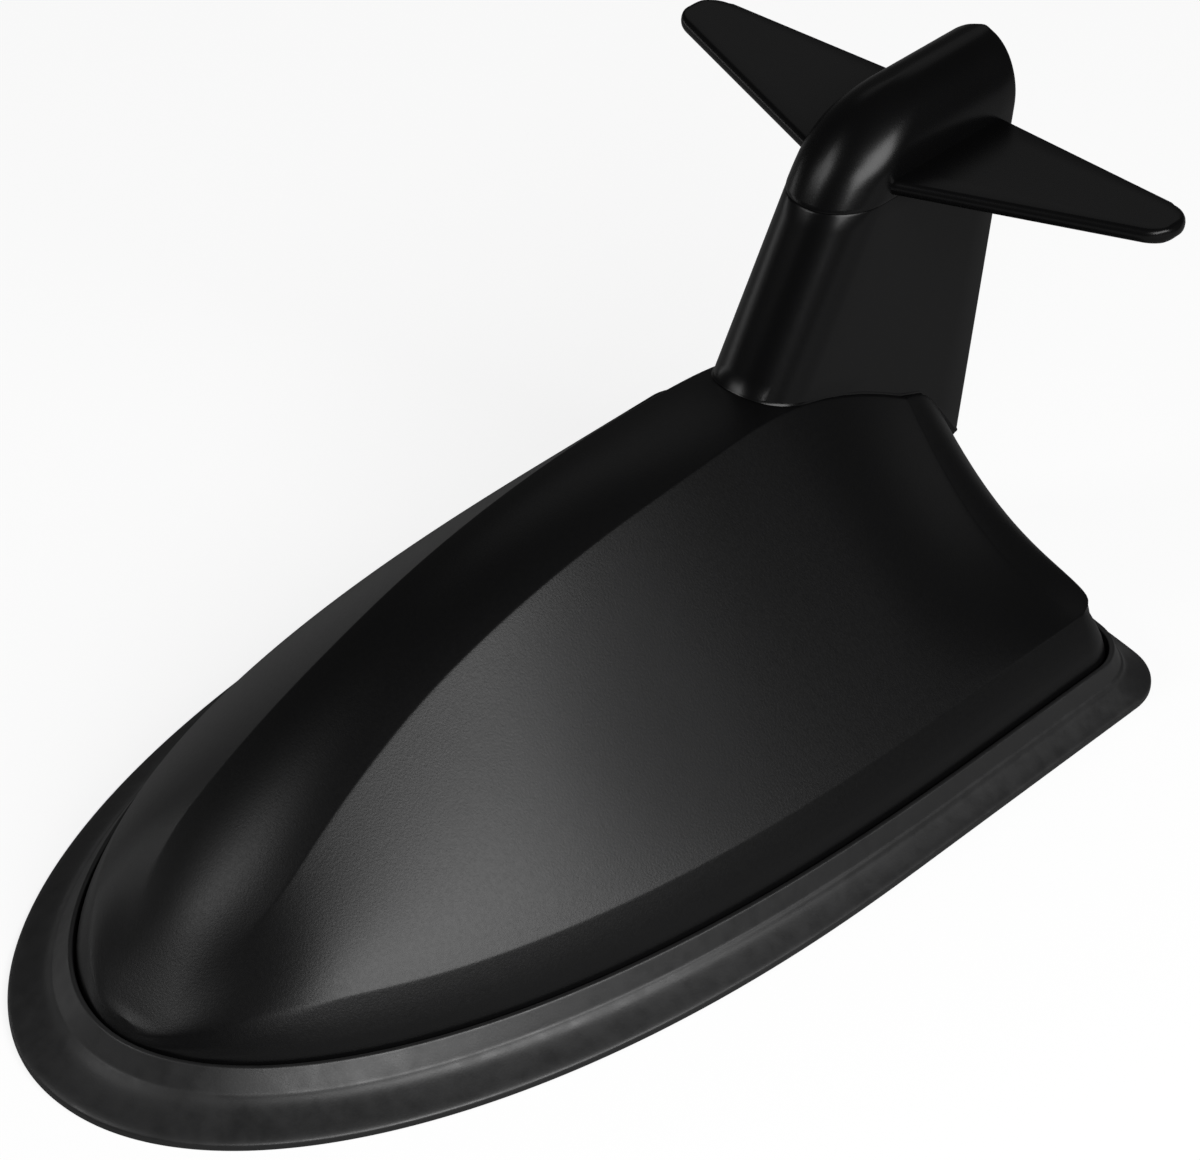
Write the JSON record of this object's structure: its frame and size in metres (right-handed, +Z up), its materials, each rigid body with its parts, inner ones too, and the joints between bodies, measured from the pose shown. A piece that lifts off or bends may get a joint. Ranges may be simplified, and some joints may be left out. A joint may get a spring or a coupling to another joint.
{
  "type": "shark fin aerial",
  "caption": "Black shark fin roof aerial with a raised spine, a leaning mast and a T-shaped tail, on a wide rubber gasket.",
  "frame": {"origin": "on the underside of the adhesive pad, in the roof plane, midway along the gasket on the middle plane", "axes": "+Z up off the roof, nose towards -Y, tail towards +Y, +X towards the aerial's left"},
  "size_m": [0.093, 0.1677, 0.0782],
  "materials": {
    "cover_black": "fine-grained satin black moulding",
    "mast_black": "satin black moulding, smoother than the cover",
    "cap_black": "satin black moulding, smoother than the cover",
    "gasket_rubber": "matt charcoal rubber",
    "base_plastic": "plain dark moulding",
    "pad_foam": "closed-cell adhesive foam",
    "board_green": "green solder mask",
    "tin_plate": "tinned sheet",
    "former_plastic": "natural nylon",
    "coil_copper": "enamelled copper wire",
    "strip_brass": "plain brass strip",
    "spring_tin": "tinned spring metal",
    "socket_gold": "gold-plated brass",
    "chip_epoxy": "black moulding compound",
    "choke_ferrite": "grey ferrite",
    "capacitor_ceramic": "tan ceramic",
    "grommet_rubber": "soft black rubber",
    "terminal_brass": "plain brass",
    "screw_zinc": "zinc-plated steel",
    "clamp_steel": "plated steel sheet"
  },
  "bodies": {
    "root": {"fin_cover": "cover_black", "tail_mast": "mast_black", "tail_cap": "cap_black", "gasket": "gasket_rubber", "base_plate": "base_plastic", "adhesive_pad": "pad_foam", "circuit_board": "board_green", "shield_can": "tin_plate", "coil_former": "former_plastic", "loading_coil": "coil_copper", "mast_strip": "strip_brass", "strip_clip": "spring_tin", "cable_socket": "socket_gold", "amplifier_chip": "chip_epoxy", "choke": "choke_ferrite", "capacitors": "capacitor_ceramic", "cable_grommet": "grommet_rubber", "lead_terminal": "terminal_brass", "terminal_screw": "screw_zinc", "mast_clamp": "clamp_steel", "cover_screws": "screw_zinc", "board_screws": "screw_zinc", "mast_screws": "screw_zinc"}
  },
  "joints": []
}
